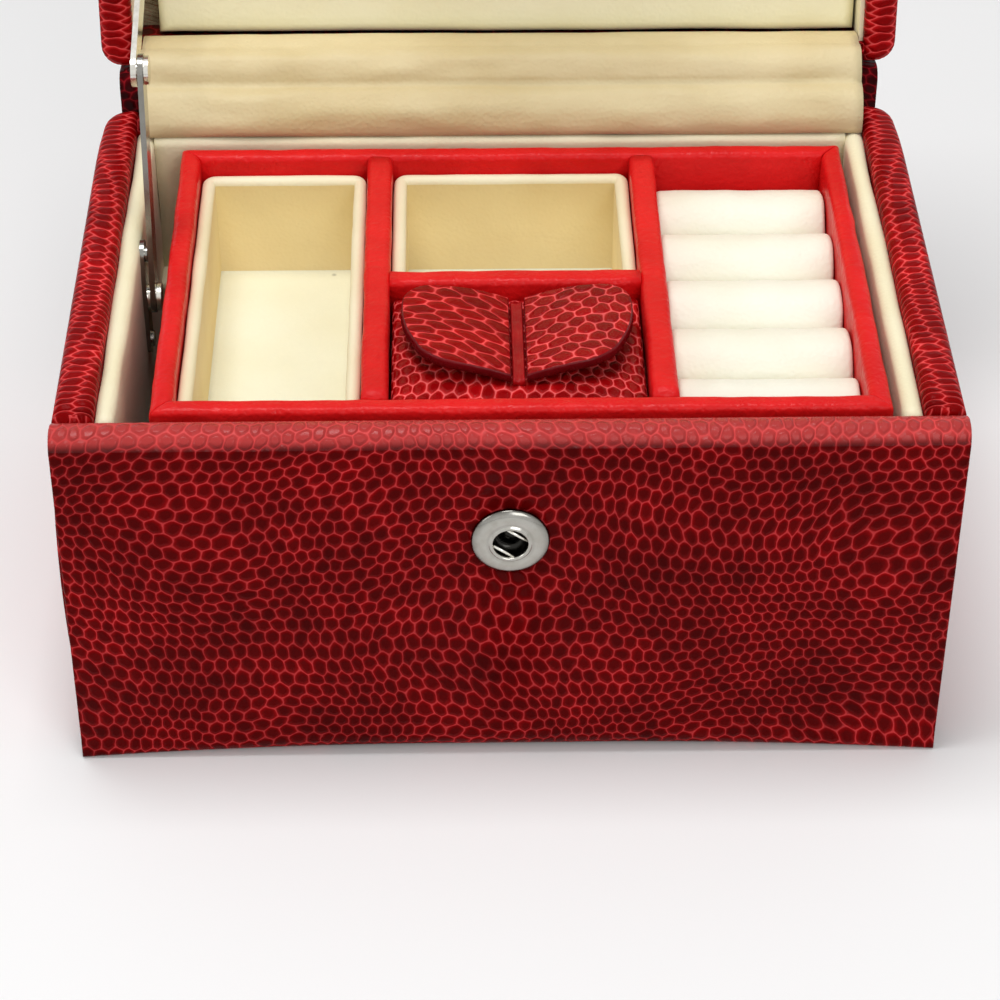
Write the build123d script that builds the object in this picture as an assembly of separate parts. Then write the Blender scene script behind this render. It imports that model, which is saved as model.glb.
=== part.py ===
"""Travel jewellery box: a leather-covered case with a hinged lid, a stay and a lift-out tray.

The frame has X to the right, Y to the back and Z up, with its origin at the centre of the base
underside. The lid is drawn closed and then turned about its hinge axis to the open rest position.
All lengths are in millimetres and angles in degrees.
"""

import os
from math import cos, hypot, radians, sin

from build123d import *

# Case walls: a board between a padded hide outside and a turned-in hide inside
case_width = 155.0
case_depth = 108.0
case_height = 72.5
case_wall = 7.0
case_hide = 2.2
case_turn_in = 1.2
case_rim_pad = 3.0
side_bulge = 1.5
bottom_round = 4.0
rear_corner = 5.0
front_corner = 1.2
base_cover_thickness = 1.2
base_board_thickness = 3.0

# Case lining panels
side_lining = 3.5
end_lining = 3.0
floor_lining_thickness = 2.0
lining_below_rim = 1.5
front_lining_below_rim = 9.0
ledge_depth = 6.0
ledge_height = 6.0
ledge_round = 1.5

# Lid walls and top
lid_rim_gap = 0.5
lid_back_inset = 0.5
lid_wall = 6.2
lid_back_wall = 3.5
lid_hide = 1.8
lid_back_hide = 1.0
lid_turn_in = 1.0
lid_rim_pad = 2.4
lid_back_rim_pad = 1.4
lid_inner_height = 15.3
lid_top_board_thickness = 3.5
lid_top_hide = 1.4
lid_crown = 1.8
lid_side_lining = 0.8
lid_panel_recess = 7.0
lid_panel_edge_roll = 1.6
lid_panel_left_gap = 3.6
lid_panel_gap = 0.4

# Lid hinge: its axis lies behind and above the rear rim, and the lid rests open
hinge_behind = 4.0
hinge_above_rim = 2.5
lid_open_angle = 100.0
strip_thickness = 1.1
strip_case_tail = 18.0
strip_lid_tail = 14.0
strip_bend = 3.0
strip_end_inset = 3.5
gusset_thickness = 1.0
gusset_side_gap = 0.5
gusset_left_gap = 3.0
gusset_crease_rise = 7.1
gusset_roll = 2.4
gusset_roof = 0.8
gusset_over_lid_rim = 1.9
gusset_panel_lap = 1.2
gusset_seat_gap = 0.5

# Snap fastener: a spring socket on the case front and a stud on the closing tab
snap_height = 50.2
snap_flange_radius = 6.8
snap_flange_stand = 1.5
snap_flange_edge = 0.5
snap_hole_radius = 3.1
snap_cup_wall = 0.8
snap_cup_floor = 0.6
snap_post_radius = 1.8
snap_post_head_radius = 4.0
snap_post_head = 0.9
spring_wire_radius = 0.3
spring_wire_offset = 2.25
spring_wire_depth = 0.6
spring_wire_angle = 45.0
stud_radius = 1.7
stud_reach = 2.6
stud_shank_radius = 1.2
cap_radius = 6.4
cap_height = 1.7
cap_edge = 0.5

# Closing tab sewn to the lid front
tab_width = 28.0
tab_leather = 1.4
tab_lining = 1.0
tab_stand = 1.8
tab_pivot_above_rim = 3.0
tab_below_snap = 12.0
tab_anchor_top = 18.0
tab_corner = 4.0

# Two-link lid stay on the left
stay_pivot_ahead = 49.0
stay_pivot_below_rim = 14.0
stay_arm_ahead = 44.0
stay_arm_rise = 1.0
link_half_width = 3.0
link_thickness = 1.0
link_wall_gap = 0.2
link_gap = 0.2
stay_pin_radius = 1.5
stay_head_radius = 2.6
stay_head = 0.9
stay_plate_thickness = 0.8
stay_plate_half_width = 2.6
stay_case_plate_length = 19.0
stay_lid_plate_length = 9.0
stay_screw_radius = 0.8
stay_screw_head_radius = 1.5
stay_screw_head = 0.5
stay_screw_depth = 5.0
stay_screw_inset = 2.6

# Lift-out tray, with its room in the well: the stay passes on the left
tray_left_gap = 5.6
tray_right_gap = 1.4
tray_front_gap = 0.4
tray_back_gap = 1.8
tray_height = 28.5
tray_wall = 3.8
tray_base_thickness = 2.5
tray_edge_round = 1.2
left_divider_share = 0.3008
right_divider_share = 0.6957
divider_thickness = 4.75
crossbar_share = 0.4773
crossbar_thickness = 4.3

# Tray bins, ring rolls and the covered compartment
bin_wall = 2.2
bin_floor = 1.8
bin_gap = 0.2
bin_below_rim = 3.5
bin_corner = 2.5
bin_rim_round = 0.8
covered_bin_below_rim = 8.5
roll_count = 5
roll_gap = 0.4
roll_below_rim = 4.5
roll_end_round = 1.4
ring_bed_thickness = 2.5
hatch_gap = 0.4
hatch_below_rim = 2.5
hatch_crown = 1.0

# Half-moon pull on the covered compartment
pull_rear_inset = 3.8
pull_length = 24.0
pull_reach = 20.0
pull_leather = 1.6
pull_tip_round = 5.0
pull_tilt = 17.0
pull_lift = 0.3
pull_seam_width = 2.4
pull_seam_height = 1.5
pull_seam_round = 0.5

# Fits and proportions shared by the pieces
running_gap = 0.1
overrun = 1.0
pillow_depth_swell = 1.3

# Levels and faces worked out from the sizes above
half_width = case_width / 2
half_depth = case_depth / 2
inner_half_width = half_width - case_wall
inner_half_depth = half_depth - case_wall
case_board = case_wall - case_hide - case_turn_in
board_top = case_height - case_rim_pad
base_top = base_cover_thickness + base_board_thickness
floor_top = base_top + floor_lining_thickness
lining_top = case_height - lining_below_rim
well_half_width = inner_half_width - side_lining
well_half_depth = inner_half_depth - end_lining
hinge_y = half_depth + hinge_behind
hinge_z = case_height + hinge_above_rim
lid_rim = case_height + lid_rim_gap
lid_front = -half_depth
lid_back = half_depth - lid_back_inset
lid_ceiling = lid_rim + lid_inner_height
lid_board_top = lid_ceiling + lid_top_board_thickness
lid_inner_half_width = half_width - lid_wall
tray_left = tray_left_gap - well_half_width
tray_right = well_half_width - tray_right_gap
tray_front = tray_front_gap - well_half_depth
tray_back = well_half_depth - tray_back_gap
left_divider_at = tray_left + left_divider_share * (tray_right - tray_left)
right_divider_at = tray_left + right_divider_share * (tray_right - tray_left)
crossbar_at = tray_front + crossbar_share * (tray_back - tray_front)
tray_rim = case_height - lining_below_rim - lid_rim_gap
tray_floor = tray_rim - tray_height
tray_base_top = tray_floor + tray_base_thickness
bin_rim = tray_rim - bin_below_rim
covered_rim = tray_rim - covered_bin_below_rim
hatch_top = tray_rim - hatch_below_rim

parts = {}


def block(x_span, y_span, z_span):
    """A box between two limits along each axis."""
    spans = (x_span, y_span, z_span)
    centre = [(low + high) / 2 for low, high in spans]
    return Pos(*centre) * Box(*[high - low for low, high in spans])


def along_x(face, x_span):
    """Extrude a face drawn in (y, z) between two places along X."""
    return extrude(Plane.YZ.offset(x_span[0]) * face, amount=x_span[1] - x_span[0])


def along_y(face, y_span):
    """Extrude a face drawn in (x, z) between two places along Y."""
    return extrude(Plane.XZ.offset(-y_span[1]) * face, amount=y_span[1] - y_span[0])


def rod_x(y, z, x_span, radius):
    """A round pin along X."""
    return along_x(Pos(y, z) * Circle(radius), x_span)


def wall_plane(side, low, high, front, back):
    """The plane of a wall section drawn as (inward, up), at the end where its run starts."""
    places = {
        "front": ((low, front, 0), (0, 1, 0), (1, 0, 0)),
        "back": ((high, back, 0), (0, -1, 0), (-1, 0, 0)),
        "left": ((-half_width, high, 0), (1, 0, 0), (0, -1, 0)),
        "right": ((half_width, low, 0), (-1, 0, 0), (0, 1, 0)),
    }
    origin, inward, run = places[side]
    return Plane(origin=origin, x_dir=inward, z_dir=run)


def wall_run(face, side, span, front=-half_depth, back=half_depth):
    """Extrude a wall section along one side of the case or lid."""
    return extrude(wall_plane(side, *span, front, back) * face, amount=span[1] - span[0])


def rectangle(inward_span, up_span):
    """A rectangular section between two limits inward and up."""
    low = (inward_span[0], up_span[0])
    high = (inward_span[1], up_span[1])
    return make_face(Polyline(low, (high[0], low[1]), high, (low[0], high[1]), close=True))


def pillow(x_span, y_span, back, edge, crown):
    """A pad with a flat back, edges at one level and a crown swelling to another."""

    def section(span, top):
        low, high = span
        middle = ((low + high) / 2, top)
        sides = Polyline((low, edge), (low, back), (high, back), (high, edge))
        return make_face(sides + ThreePointArc((high, edge), middle, (low, edge)))

    steeper = edge + pillow_depth_swell * (crown - edge)
    return along_y(section(x_span, crown), y_span) & along_x(section(y_span, steeper), x_span)


def plan_prism(x_half, y_span, z_span, radius_front, radius_back):
    """A tall prism with rounded plan corners, used to round the upright edges of covers."""
    prism = block((-x_half, x_half), y_span, z_span)
    upright = prism.edges().filter_by(Axis.Z)
    prism = fillet(upright.sort_by(Axis.Y)[:2], radius_front)
    upright = prism.edges().filter_by(Axis.Z)
    return fillet(upright.sort_by(Axis.Y)[-2:], radius_back)


def half_round_top(thickness, low, high):
    """A panel section with a half-round top edge, starting at inward zero."""
    radius = thickness / 2
    shoulder = high - radius
    sides = Polyline((0, shoulder), (0, low), (thickness, low), (thickness, shoulder))
    return make_face(sides + ThreePointArc((thickness, shoulder), (radius, high), (0, shoulder)))


def case_wall_section(bulge):
    """The outline of a covered case wall: round bottom edge, swelling face and rolled rim."""
    rim_radius = case_wall / 2
    shoulder = case_height - rim_radius
    turn = bottom_round * (1 - cos(radians(45)))
    bottom = ThreePointArc((bottom_round, 0), (turn, turn), (0, bottom_round))
    outside = Line((0, bottom_round), (0, shoulder))
    if bulge > 0:
        middle = (-bulge, (bottom_round + shoulder) / 2)
        outside = ThreePointArc((0, bottom_round), middle, (0, shoulder))
    rim = ThreePointArc((0, shoulder), (rim_radius, case_height), (case_wall, shoulder))
    inside_turn = (case_wall - case_turn_in, base_top)
    inside = Polyline(
        (case_wall, shoulder),
        (case_wall, base_top),
        inside_turn,
        (inside_turn[0], base_cover_thickness),
        (case_wall, base_cover_thickness),
        (case_wall, 0),
        (bottom_round, 0),
    )
    return make_face(bottom + outside + rim + inside)


def screw_holes(places, x_span):
    """Holes for the small screws of a stay plate."""
    return [rod_x(y, z, x_span, stay_screw_radius) for y, z in places]


def open_lid(shape):
    """Turn a piece drawn on the closed lid to the open rest position."""
    return shape.rotate(Axis((0, hinge_y, hinge_z), (1, 0, 0)), -lid_open_angle)


def turned(y, z, angle):
    """A (y, z) step from the hinge axis, turned as the lid opens by an angle."""
    c, s = cos(radians(angle)), sin(radians(angle))
    return y * c + z * s, -y * s + z * c


# Places of the stay: a parallelogram with the hinge axis, so both links keep steady ratios
plate_face = -well_half_width
stay_pivot_y = hinge_y - stay_pivot_ahead
stay_pivot_z = case_height - stay_pivot_below_rim
stay_pivot = (stay_pivot_y, stay_pivot_z)
arm_open = turned(-stay_arm_ahead, stay_arm_rise, lid_open_angle)
stay_elbow = (stay_pivot_y + arm_open[0], stay_pivot_z + arm_open[1])
lid_pivot_closed = (hinge_y - stay_arm_ahead, hinge_z + stay_arm_rise)
lid_pivot = (hinge_y + arm_open[0], hinge_z + arm_open[1])
upper_link_x = (plate_face + link_wall_gap, plate_face + link_wall_gap + link_thickness)
lower_link_x = (upper_link_x[1] + link_gap, upper_link_x[1] + link_gap + link_thickness)
case_plate_x = (plate_face, plate_face + stay_plate_thickness)
lid_plate_face = -lid_inner_half_width + lid_side_lining
lid_plate_x = (lid_plate_face, lid_plate_face + stay_plate_thickness)
case_screw_step = stay_case_plate_length / 2 - stay_screw_inset + stay_plate_half_width
case_screws = [(stay_pivot_y, stay_pivot_z - side * case_screw_step) for side in (-1, 1)]
lid_screw_z = lid_pivot_closed[1] + stay_lid_plate_length
lid_screws = [(lid_pivot_closed[0], lid_screw_z)]

# Case boards and covers
side_span = (-half_depth + case_wall, half_depth)
side_board_span = (side_span[0], half_depth - case_hide)
front_board_span = (-half_width + case_hide, half_width - case_hide)
back_span = (-inner_half_width, inner_half_width)
board_section = rectangle((case_hide, case_hide + case_board), (base_cover_thickness, board_top))
case_boards = {
    "front": wall_run(board_section, "front", front_board_span),
    "back": wall_run(board_section, "back", back_span),
    "left": wall_run(board_section, "left", side_board_span),
    "right": wall_run(board_section, "right", side_board_span),
}
case_envelope = plan_prism(
    half_width + side_bulge, (-half_depth, half_depth), (-overrun, case_height + overrun),
    front_corner, rear_corner,
)
case_covers = {
    "front": wall_run(case_wall_section(0), "front", (-half_width, half_width)),
    "back": wall_run(case_wall_section(0), "back", back_span),
    "left": wall_run(case_wall_section(side_bulge), "left", side_span) & case_envelope,
    "right": wall_run(case_wall_section(side_bulge), "right", side_span) & case_envelope,
}

# Snap socket and its post through the front wall
snap_plane = Plane(origin=(0, -half_depth, snap_height), x_dir=(1, 0, 0), z_dir=(0, -1, 0))
cup_radius = snap_hole_radius + snap_cup_wall
cup_depth = case_hide
post_depth = case_hide + case_board


def snap_disc(radius, low, high):
    """A disc about the snap axis between two heights outward from the case front."""
    return extrude(snap_plane.offset(low) * Circle(radius), amount=high - low)


flange = snap_disc(snap_flange_radius, 0, snap_flange_stand)
flange = fillet(flange.faces().sort_by(Axis.Y)[0].edges(), snap_flange_edge)
socket = flange + snap_disc(cup_radius, -cup_depth, snap_flange_stand)
socket -= snap_disc(snap_hole_radius, snap_cup_floor - cup_depth, snap_flange_stand + overrun)
parts["snap_socket"] = socket
wire_half = (snap_hole_radius**2 - (spring_wire_offset + spring_wire_radius) ** 2) ** 0.5
wires = []
for side in (-1, 1):
    start = Pos(-wire_half, side * spring_wire_offset, snap_flange_stand - spring_wire_depth)
    wire_end = snap_plane.location * Rot(Z=spring_wire_angle) * start * Rot(Y=90)
    wires.append(extrude(wire_end * Circle(spring_wire_radius), amount=2 * wire_half))
parts["snap_spring"] = Compound(children=wires)
post_hole = snap_disc(snap_post_radius, -post_depth, -cup_depth)
post_head = snap_disc(snap_post_head_radius, -post_depth - snap_post_head, -post_depth)
parts["snap_post"] = post_hole + post_head
case_covers["front"] -= snap_disc(cup_radius, -cup_depth, overrun)
case_covers["front"] -= post_head
case_boards["front"] -= post_hole

for side, board in case_boards.items():
    cover = case_covers[side] - board
    if side == "front":
        cover -= post_hole
    if side == "left":
        for hole in screw_holes(case_screws, (plate_face - stay_screw_depth, plate_face)):
            board -= hole
            cover -= hole
    case_boards[side] = board
    parts[f"case_{side}_cover"] = cover
parts["case_wall_boards"] = Compound(children=list(case_boards.values()))
board_inset = case_hide + case_board
base_half = (half_width - board_inset, half_depth - board_inset)
parts["case_base_board"] = block(
    (-base_half[0], base_half[0]), (-base_half[1], base_half[1]), (base_cover_thickness, base_top)
)
parts["case_base_cover"] = block(
    (-inner_half_width, inner_half_width),
    (-inner_half_depth, inner_half_depth),
    (0, base_cover_thickness),
)

# Case linings and the ledges that carry the tray
parts["lining_floor"] = block(
    (-inner_half_width, inner_half_width), (-inner_half_depth, inner_half_depth), (base_top, floor_top)
)
for side in ("left", "right"):
    section = Pos(case_wall, 0) * half_round_top(side_lining, floor_top, lining_top)
    lining = wall_run(section, side, (-inner_half_depth, inner_half_depth))
    if side == "left":
        for hole in screw_holes(case_screws, (plate_face - stay_screw_depth, plate_face)):
            lining -= hole
    parts[f"lining_{side}"] = lining
for side, below in (("front", front_lining_below_rim), ("back", lining_below_rim)):
    section = Pos(case_wall, 0) * half_round_top(end_lining, floor_top, case_height - below)
    parts[f"lining_{side}"] = wall_run(section, side, (-well_half_width, well_half_width))
    inward = (case_wall + end_lining, case_wall + end_lining + ledge_depth)
    ledge = wall_run(
        rectangle(inward, (tray_floor - ledge_height, tray_floor)),
        side,
        (-well_half_width, well_half_width),
    )
    long_edges = ledge.edges().filter_by(Axis.X)
    inner_edges = sorted(long_edges, key=lambda edge: abs(edge.center().Y))[:2]
    parts[f"tray_ledge_{side}"] = fillet(inner_edges, ledge_round)

# Lid boards, covers and lining, drawn closed
lid_pieces = {}
lid_sides = {
    "front": (lid_wall, lid_hide, lid_rim_pad),
    "back": (lid_back_wall, lid_back_hide, lid_back_rim_pad),
    "left": (lid_wall, lid_hide, lid_rim_pad),
    "right": (lid_wall, lid_hide, lid_rim_pad),
}
lid_side_span = (lid_front + lid_wall, lid_back)
lid_spans = {
    "front": ((-half_width, half_width), (-half_width + lid_hide, half_width - lid_hide)),
    "back": ((-lid_inner_half_width, lid_inner_half_width),) * 2,
    "left": (lid_side_span, (lid_side_span[0], lid_back - lid_back_hide)),
    "right": (lid_side_span, (lid_side_span[0], lid_back - lid_back_hide)),
}
lid_envelope = plan_prism(
    half_width, (lid_front, lid_back), (lid_rim - overrun, lid_board_top + overrun),
    front_corner, rear_corner,
)
lid_screw_holes = screw_holes(lid_screws, (lid_plate_face - stay_screw_depth, lid_plate_face))
lid_boards = []
for side, (wall, hide, rim_pad) in lid_sides.items():
    upright = half_round_top(wall, lid_rim, lid_ceiling)
    flipped = Pos(0, lid_rim + lid_ceiling) * mirror(upright, Plane.XZ)
    board_face = rectangle((hide, wall - lid_turn_in), (lid_rim + rim_pad, lid_ceiling))
    cover_span, board_span = lid_spans[side]
    board = wall_run(board_face, side, board_span, lid_front, lid_back)
    cover = wall_run(flipped, side, cover_span, lid_front, lid_back) & lid_envelope
    cover -= board
    if side == "left":
        for hole in lid_screw_holes:
            board -= hole
            cover -= hole
    lid_boards.append(board)
    lid_pieces[f"lid_{side}_cover"] = cover
lid_pieces["lid_wall_boards"] = Compound(children=lid_boards)
top_board = block(
    (-half_width + lid_hide, half_width - lid_hide),
    (lid_front + lid_hide, lid_back - lid_back_hide),
    (lid_ceiling, lid_board_top),
)
lid_top_edge = lid_board_top + lid_top_hide
top_cover = pillow(
    (-half_width, half_width), (lid_front, lid_back), lid_ceiling, lid_top_edge, lid_top_edge + lid_crown
)
top_envelope = plan_prism(
    half_width, (lid_front, lid_back), (lid_ceiling - overrun, lid_top_edge + lid_crown + overrun),
    front_corner, rear_corner,
)
lid_pieces["lid_top_board"] = top_board
lid_pieces["lid_top_cover"] = (top_cover & top_envelope) - top_board

# Lid lining: thin strips on the walls and a padded panel on the top board
lid_inner_back = lid_back - lid_back_wall
lid_inner_front = lid_front + lid_wall
lining_low = lid_rim + lid_wall / 2
panel_face = lid_rim + lid_panel_recess
panel_x = (-lid_inner_half_width + stay_plate_thickness + lid_panel_left_gap, -lid_plate_face - lid_panel_gap)
panel_y = (lid_inner_front + lid_side_lining + lid_panel_gap, lid_inner_back - lid_panel_gap)
strip_y = (lid_inner_front, lid_inner_back)
strip_z = (lining_low, lid_ceiling)
left_strip = block((-lid_inner_half_width, lid_plate_face), strip_y, strip_z)
for hole in lid_screw_holes:
    left_strip -= hole
right_strip = block((-lid_plate_face, lid_inner_half_width), strip_y, strip_z)
front_strip = block(
    (lid_plate_face, -lid_plate_face), (lid_inner_front, lid_inner_front + lid_side_lining), strip_z
)
lid_pieces["lid_wall_linings"] = Compound(children=[left_strip, right_strip, front_strip])
lid_pieces["lid_panel"] = pillow(
    panel_x, panel_y, lid_ceiling, panel_face + lid_panel_edge_roll, panel_face
)

# Closing tab: an anchor sewn to the lid front and a free flap that carries the stud
tab_outer = tab_stand + tab_lining + tab_leather
tab_pivot_out = (tab_stand + tab_outer) / 2
tab_half = (tab_outer - tab_stand) / 2
tab_pivot = (lid_front - tab_pivot_out, lid_rim + tab_pivot_above_rim)
anchor_low = tab_pivot[1] + tab_half + 2 * running_gap
tab_x = (-tab_width / 2, tab_width / 2)
anchor = block(tab_x, (lid_front - tab_outer, lid_front), (anchor_low, lid_rim + tab_anchor_top))
anchor_top = anchor.edges().filter_by(Axis.Y).sort_by(Axis.Z)[-2:]
lid_pieces["tab_anchor"] = fillet(anchor_top, tab_corner)


def tab_layer(low, high):
    """One layer of the free flap, round-ended below the snap, between two heights outward."""
    end_z = snap_height + tab_width / 2 - tab_below_snap
    straight = block(tab_x, (-half_depth - high, -half_depth - low), (end_z, tab_pivot[1]))
    face_plane = Plane(origin=(0, -half_depth - low, end_z), x_dir=(1, 0, 0), z_dir=(0, -1, 0))
    return straight + extrude(face_plane * Circle(tab_width / 2), amount=high - low)


knuckle = along_x(Pos(*tab_pivot) * Circle(tab_half), tab_x)
lining_split = tab_stand + tab_lining
seam_cut = block(
    (tab_x[0] - overrun, tab_x[1] + overrun),
    (-half_depth - lining_split, -half_depth),
    (0, tab_pivot[1] + tab_half + overrun),
)
shank_hole = snap_disc(stud_shank_radius, tab_stand, tab_outer)
flap = tab_layer(lining_split, tab_outer) + (knuckle - seam_cut) - shank_hole
lid_pieces["closure_tab"] = flap
lid_pieces["closure_tab_lining"] = tab_layer(tab_stand, lining_split) + (knuckle & seam_cut) - shank_hole
lid_pieces["snap_stud"] = snap_disc(stud_radius, tab_stand - stud_reach, tab_stand) + shank_hole
cap = snap_disc(cap_radius, tab_outer, tab_outer + cap_height)
lid_pieces["snap_cap"] = fillet(cap.faces().sort_by(Axis.Y)[0].edges(), cap_edge)

# Lid end of the stay
lid_pivot_y, lid_pivot_z = lid_pivot_closed
plate_end = lid_screw_z + stay_screw_inset
lid_plate_outline = make_face(
    Polyline(
        (lid_pivot_y - stay_plate_half_width, lid_pivot_z),
        (lid_pivot_y - stay_plate_half_width, plate_end),
        (lid_pivot_y + stay_plate_half_width, plate_end),
        (lid_pivot_y + stay_plate_half_width, lid_pivot_z),
    )
    + ThreePointArc(
        (lid_pivot_y + stay_plate_half_width, lid_pivot_z),
        (lid_pivot_y, lid_pivot_z - stay_plate_half_width),
        (lid_pivot_y - stay_plate_half_width, lid_pivot_z),
    )
)
lid_plate = along_x(lid_plate_outline, lid_plate_x)
for hole in screw_holes(lid_screws, lid_plate_x):
    lid_plate -= hole
collar_radius = stay_pin_radius + stay_plate_thickness
lid_pieces["stay_lid_plate"] = lid_plate
lid_pieces["stay_lid_rivet"] = (
    rod_x(lid_pivot_y, lid_pivot_z, (lid_plate_x[1], upper_link_x[0] - running_gap), collar_radius)
    + rod_x(lid_pivot_y, lid_pivot_z, (lid_plate_x[1], upper_link_x[1] + running_gap), stay_pin_radius)
    + rod_x(
        lid_pivot_y,
        lid_pivot_z,
        (upper_link_x[1] + running_gap, upper_link_x[1] + stay_head),
        stay_head_radius,
    )
)
lid_pieces["stay_lid_screws"] = Compound(
    children=[
        rod_x(y, z, (lid_plate_face - stay_screw_depth, lid_plate_x[1]), stay_screw_radius)
        + rod_x(y, z, (lid_plate_x[1], lid_plate_x[1] + stay_screw_head), stay_screw_head_radius)
        for y, z in lid_screws
    ]
)
for name, piece in lid_pieces.items():
    parts[name] = open_lid(piece)

# Case end of the stay and its two links
plate_plane = Plane(origin=(case_plate_x[0], *stay_pivot), x_dir=(0, 0, 1), z_dir=(1, 0, 0))
case_plate = extrude(
    plate_plane * SlotCenterToCenter(stay_case_plate_length, 2 * stay_plate_half_width),
    amount=stay_plate_thickness,
)
for hole in screw_holes(case_screws, case_plate_x):
    case_plate -= hole
parts["stay_case_plate"] = case_plate
parts["stay_case_rivet"] = (
    rod_x(*stay_pivot, (case_plate_x[1], lower_link_x[0] - running_gap), collar_radius)
    + rod_x(*stay_pivot, (case_plate_x[1], lower_link_x[1] + running_gap), stay_pin_radius)
    + rod_x(*stay_pivot, (lower_link_x[1] + running_gap, lower_link_x[1] + stay_head), stay_head_radius)
)
parts["stay_case_screws"] = Compound(
    children=[
        rod_x(y, z, (plate_face - stay_screw_depth, case_plate_x[1]), stay_screw_radius)
        + rod_x(y, z, (case_plate_x[1], case_plate_x[1] + stay_screw_head), stay_screw_head_radius)
        for y, z in case_screws
    ]
)


def stay_link(start, end, x_span):
    """A flat link with round ends and a pin hole at each end."""
    step = (end[0] - start[0], end[1] - start[1])
    middle = ((start[0] + end[0]) / 2, (start[1] + end[1]) / 2)
    plane = Plane(origin=(x_span[0], *middle), x_dir=(0, *step), z_dir=(1, 0, 0))
    strip = plane * SlotCenterToCenter(hypot(*step), 2 * link_half_width)
    link = extrude(strip, amount=x_span[1] - x_span[0])
    for place in (start, end):
        link -= rod_x(*place, x_span, stay_pin_radius + running_gap)
    return link


parts["stay_lower_link"] = stay_link(stay_pivot, stay_elbow, lower_link_x)
parts["stay_upper_link"] = stay_link(stay_elbow, lid_pivot, upper_link_x)
parts["stay_elbow_rivet"] = rod_x(
    *stay_elbow, (upper_link_x[0], lower_link_x[1] + running_gap), stay_pin_radius
) + rod_x(*stay_elbow, (lower_link_x[1] + running_gap, lower_link_x[1] + stay_head), stay_head_radius)

# Leather hinge strip: flat on the case back, bent at the gap, flat on the lid back
strip_half = strip_thickness / 2
lid_back_corner = turned(lid_back - hinge_y, lid_rim - hinge_z, lid_open_angle)
corner = (hinge_y + lid_back_corner[0], hinge_z + lid_back_corner[1])
along = turned(0, 1, lid_open_angle)
below = (along[1], -along[0])
strip_middle = half_depth + strip_half
slide_back = (strip_middle - corner[0] - below[0] * strip_half) / along[0]
bend = (strip_middle, corner[1] + below[1] * strip_half + along[1] * slide_back)
lid_end = (bend[0] + along[0] * strip_lid_tail, bend[1] + along[1] * strip_lid_tail)
case_end = (strip_middle, case_height - strip_case_tail)
strip_path = FilletPolyline(case_end, bend, lid_end, radius=strip_bend)
strip_face = trace(strip_path, strip_thickness)
strip_half_width = half_width - strip_end_inset
parts["hinge_strip"] = along_x(strip_face, (-strip_half_width, strip_half_width))

# Pleated hinge lining: two soft rolls from the back lining over the lid rim to the panel
lid_rim_inner = turned(lid_inner_back - hinge_y, lid_rim - hinge_z, lid_open_angle)
over_rim = (
    hinge_y + lid_rim_inner[0] - along[1] * gusset_seat_gap,
    hinge_z + lid_rim_inner[1] + gusset_over_lid_rim,
)
panel_corner = turned(panel_y[1] - hinge_y, panel_face + lid_panel_edge_roll - hinge_z, lid_open_angle)
panel_end = (
    hinge_y + panel_corner[0] - along[0] * gusset_panel_lap,
    hinge_z + panel_corner[1] + gusset_panel_lap,
)
gusset_low = (well_half_depth + gusset_thickness, lining_top + gusset_seat_gap + gusset_thickness)
gusset_crease = (inner_half_depth + case_wall / 2, case_height + gusset_crease_rise)


def bulged(start, end, bulge):
    """An arc from start to end that swells to the front and up by a bulge."""
    step = (end[0] - start[0], end[1] - start[1])
    length = hypot(*step)
    middle = (
        (start[0] + end[0]) / 2 - bulge * step[1] / length,
        (start[1] + end[1]) / 2 + bulge * step[0] / length,
    )
    return ThreePointArc(start, middle, end)


gusset_path = [
    bulged(gusset_low, gusset_crease, gusset_roll),
    bulged(gusset_crease, over_rim, gusset_roll),
    bulged(over_rim, panel_end, gusset_roof),
]
gusset_x = (-lid_inner_half_width + gusset_left_gap + lid_side_lining, inner_half_width - gusset_side_gap)
gusset = Part()
for arc in gusset_path:
    gusset += along_x(trace(arc, gusset_thickness), gusset_x)
parts["hinge_lining"] = gusset

# Tray: a base, four walls, two dividers and a crossbar
tray_x = (tray_left, tray_right)
tray_y = (tray_front, tray_back)
tray_z = (tray_floor, tray_rim)
inside_x = (tray_left + tray_wall, tray_right - tray_wall)
inside_y = (tray_front + tray_wall, tray_back - tray_wall)
divider_z = (tray_base_top, tray_rim)


def rounded_rail(x_span, y_span, z_span, axis):
    """A leather-covered rail with its two long top edges rounded."""
    rail = block(x_span, y_span, z_span)
    return fillet(rail.edges().filter_by(axis).sort_by(Axis.Z)[-2:], tray_edge_round)


def about(centre, thickness):
    """The limits of a rail of a given thickness about a centre."""
    return centre - thickness / 2, centre + thickness / 2


left_divider = about(left_divider_at, divider_thickness)
right_divider = about(right_divider_at, divider_thickness)
crossbar = about(crossbar_at, crossbar_thickness)
parts["tray_base"] = block(inside_x, inside_y, (tray_floor, tray_base_top))
parts["tray_front_wall"] = rounded_rail(tray_x, (tray_front, inside_y[0]), tray_z, Axis.X)
parts["tray_back_wall"] = rounded_rail(tray_x, (inside_y[1], tray_back), tray_z, Axis.X)
parts["tray_left_wall"] = rounded_rail((tray_left, inside_x[0]), inside_y, tray_z, Axis.Y)
parts["tray_right_wall"] = rounded_rail((inside_x[1], tray_right), inside_y, tray_z, Axis.Y)
parts["tray_divider_left"] = rounded_rail(left_divider, inside_y, divider_z, Axis.Y)
parts["tray_divider_right"] = rounded_rail(right_divider, inside_y, divider_z, Axis.Y)
centre_x = (left_divider[1], right_divider[0])
parts["tray_crossbar"] = rounded_rail(centre_x, crossbar, divider_z, Axis.X)


def shrink(span, gap):
    """A span with a gap taken off each end."""
    return span[0] + gap, span[1] - gap


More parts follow.
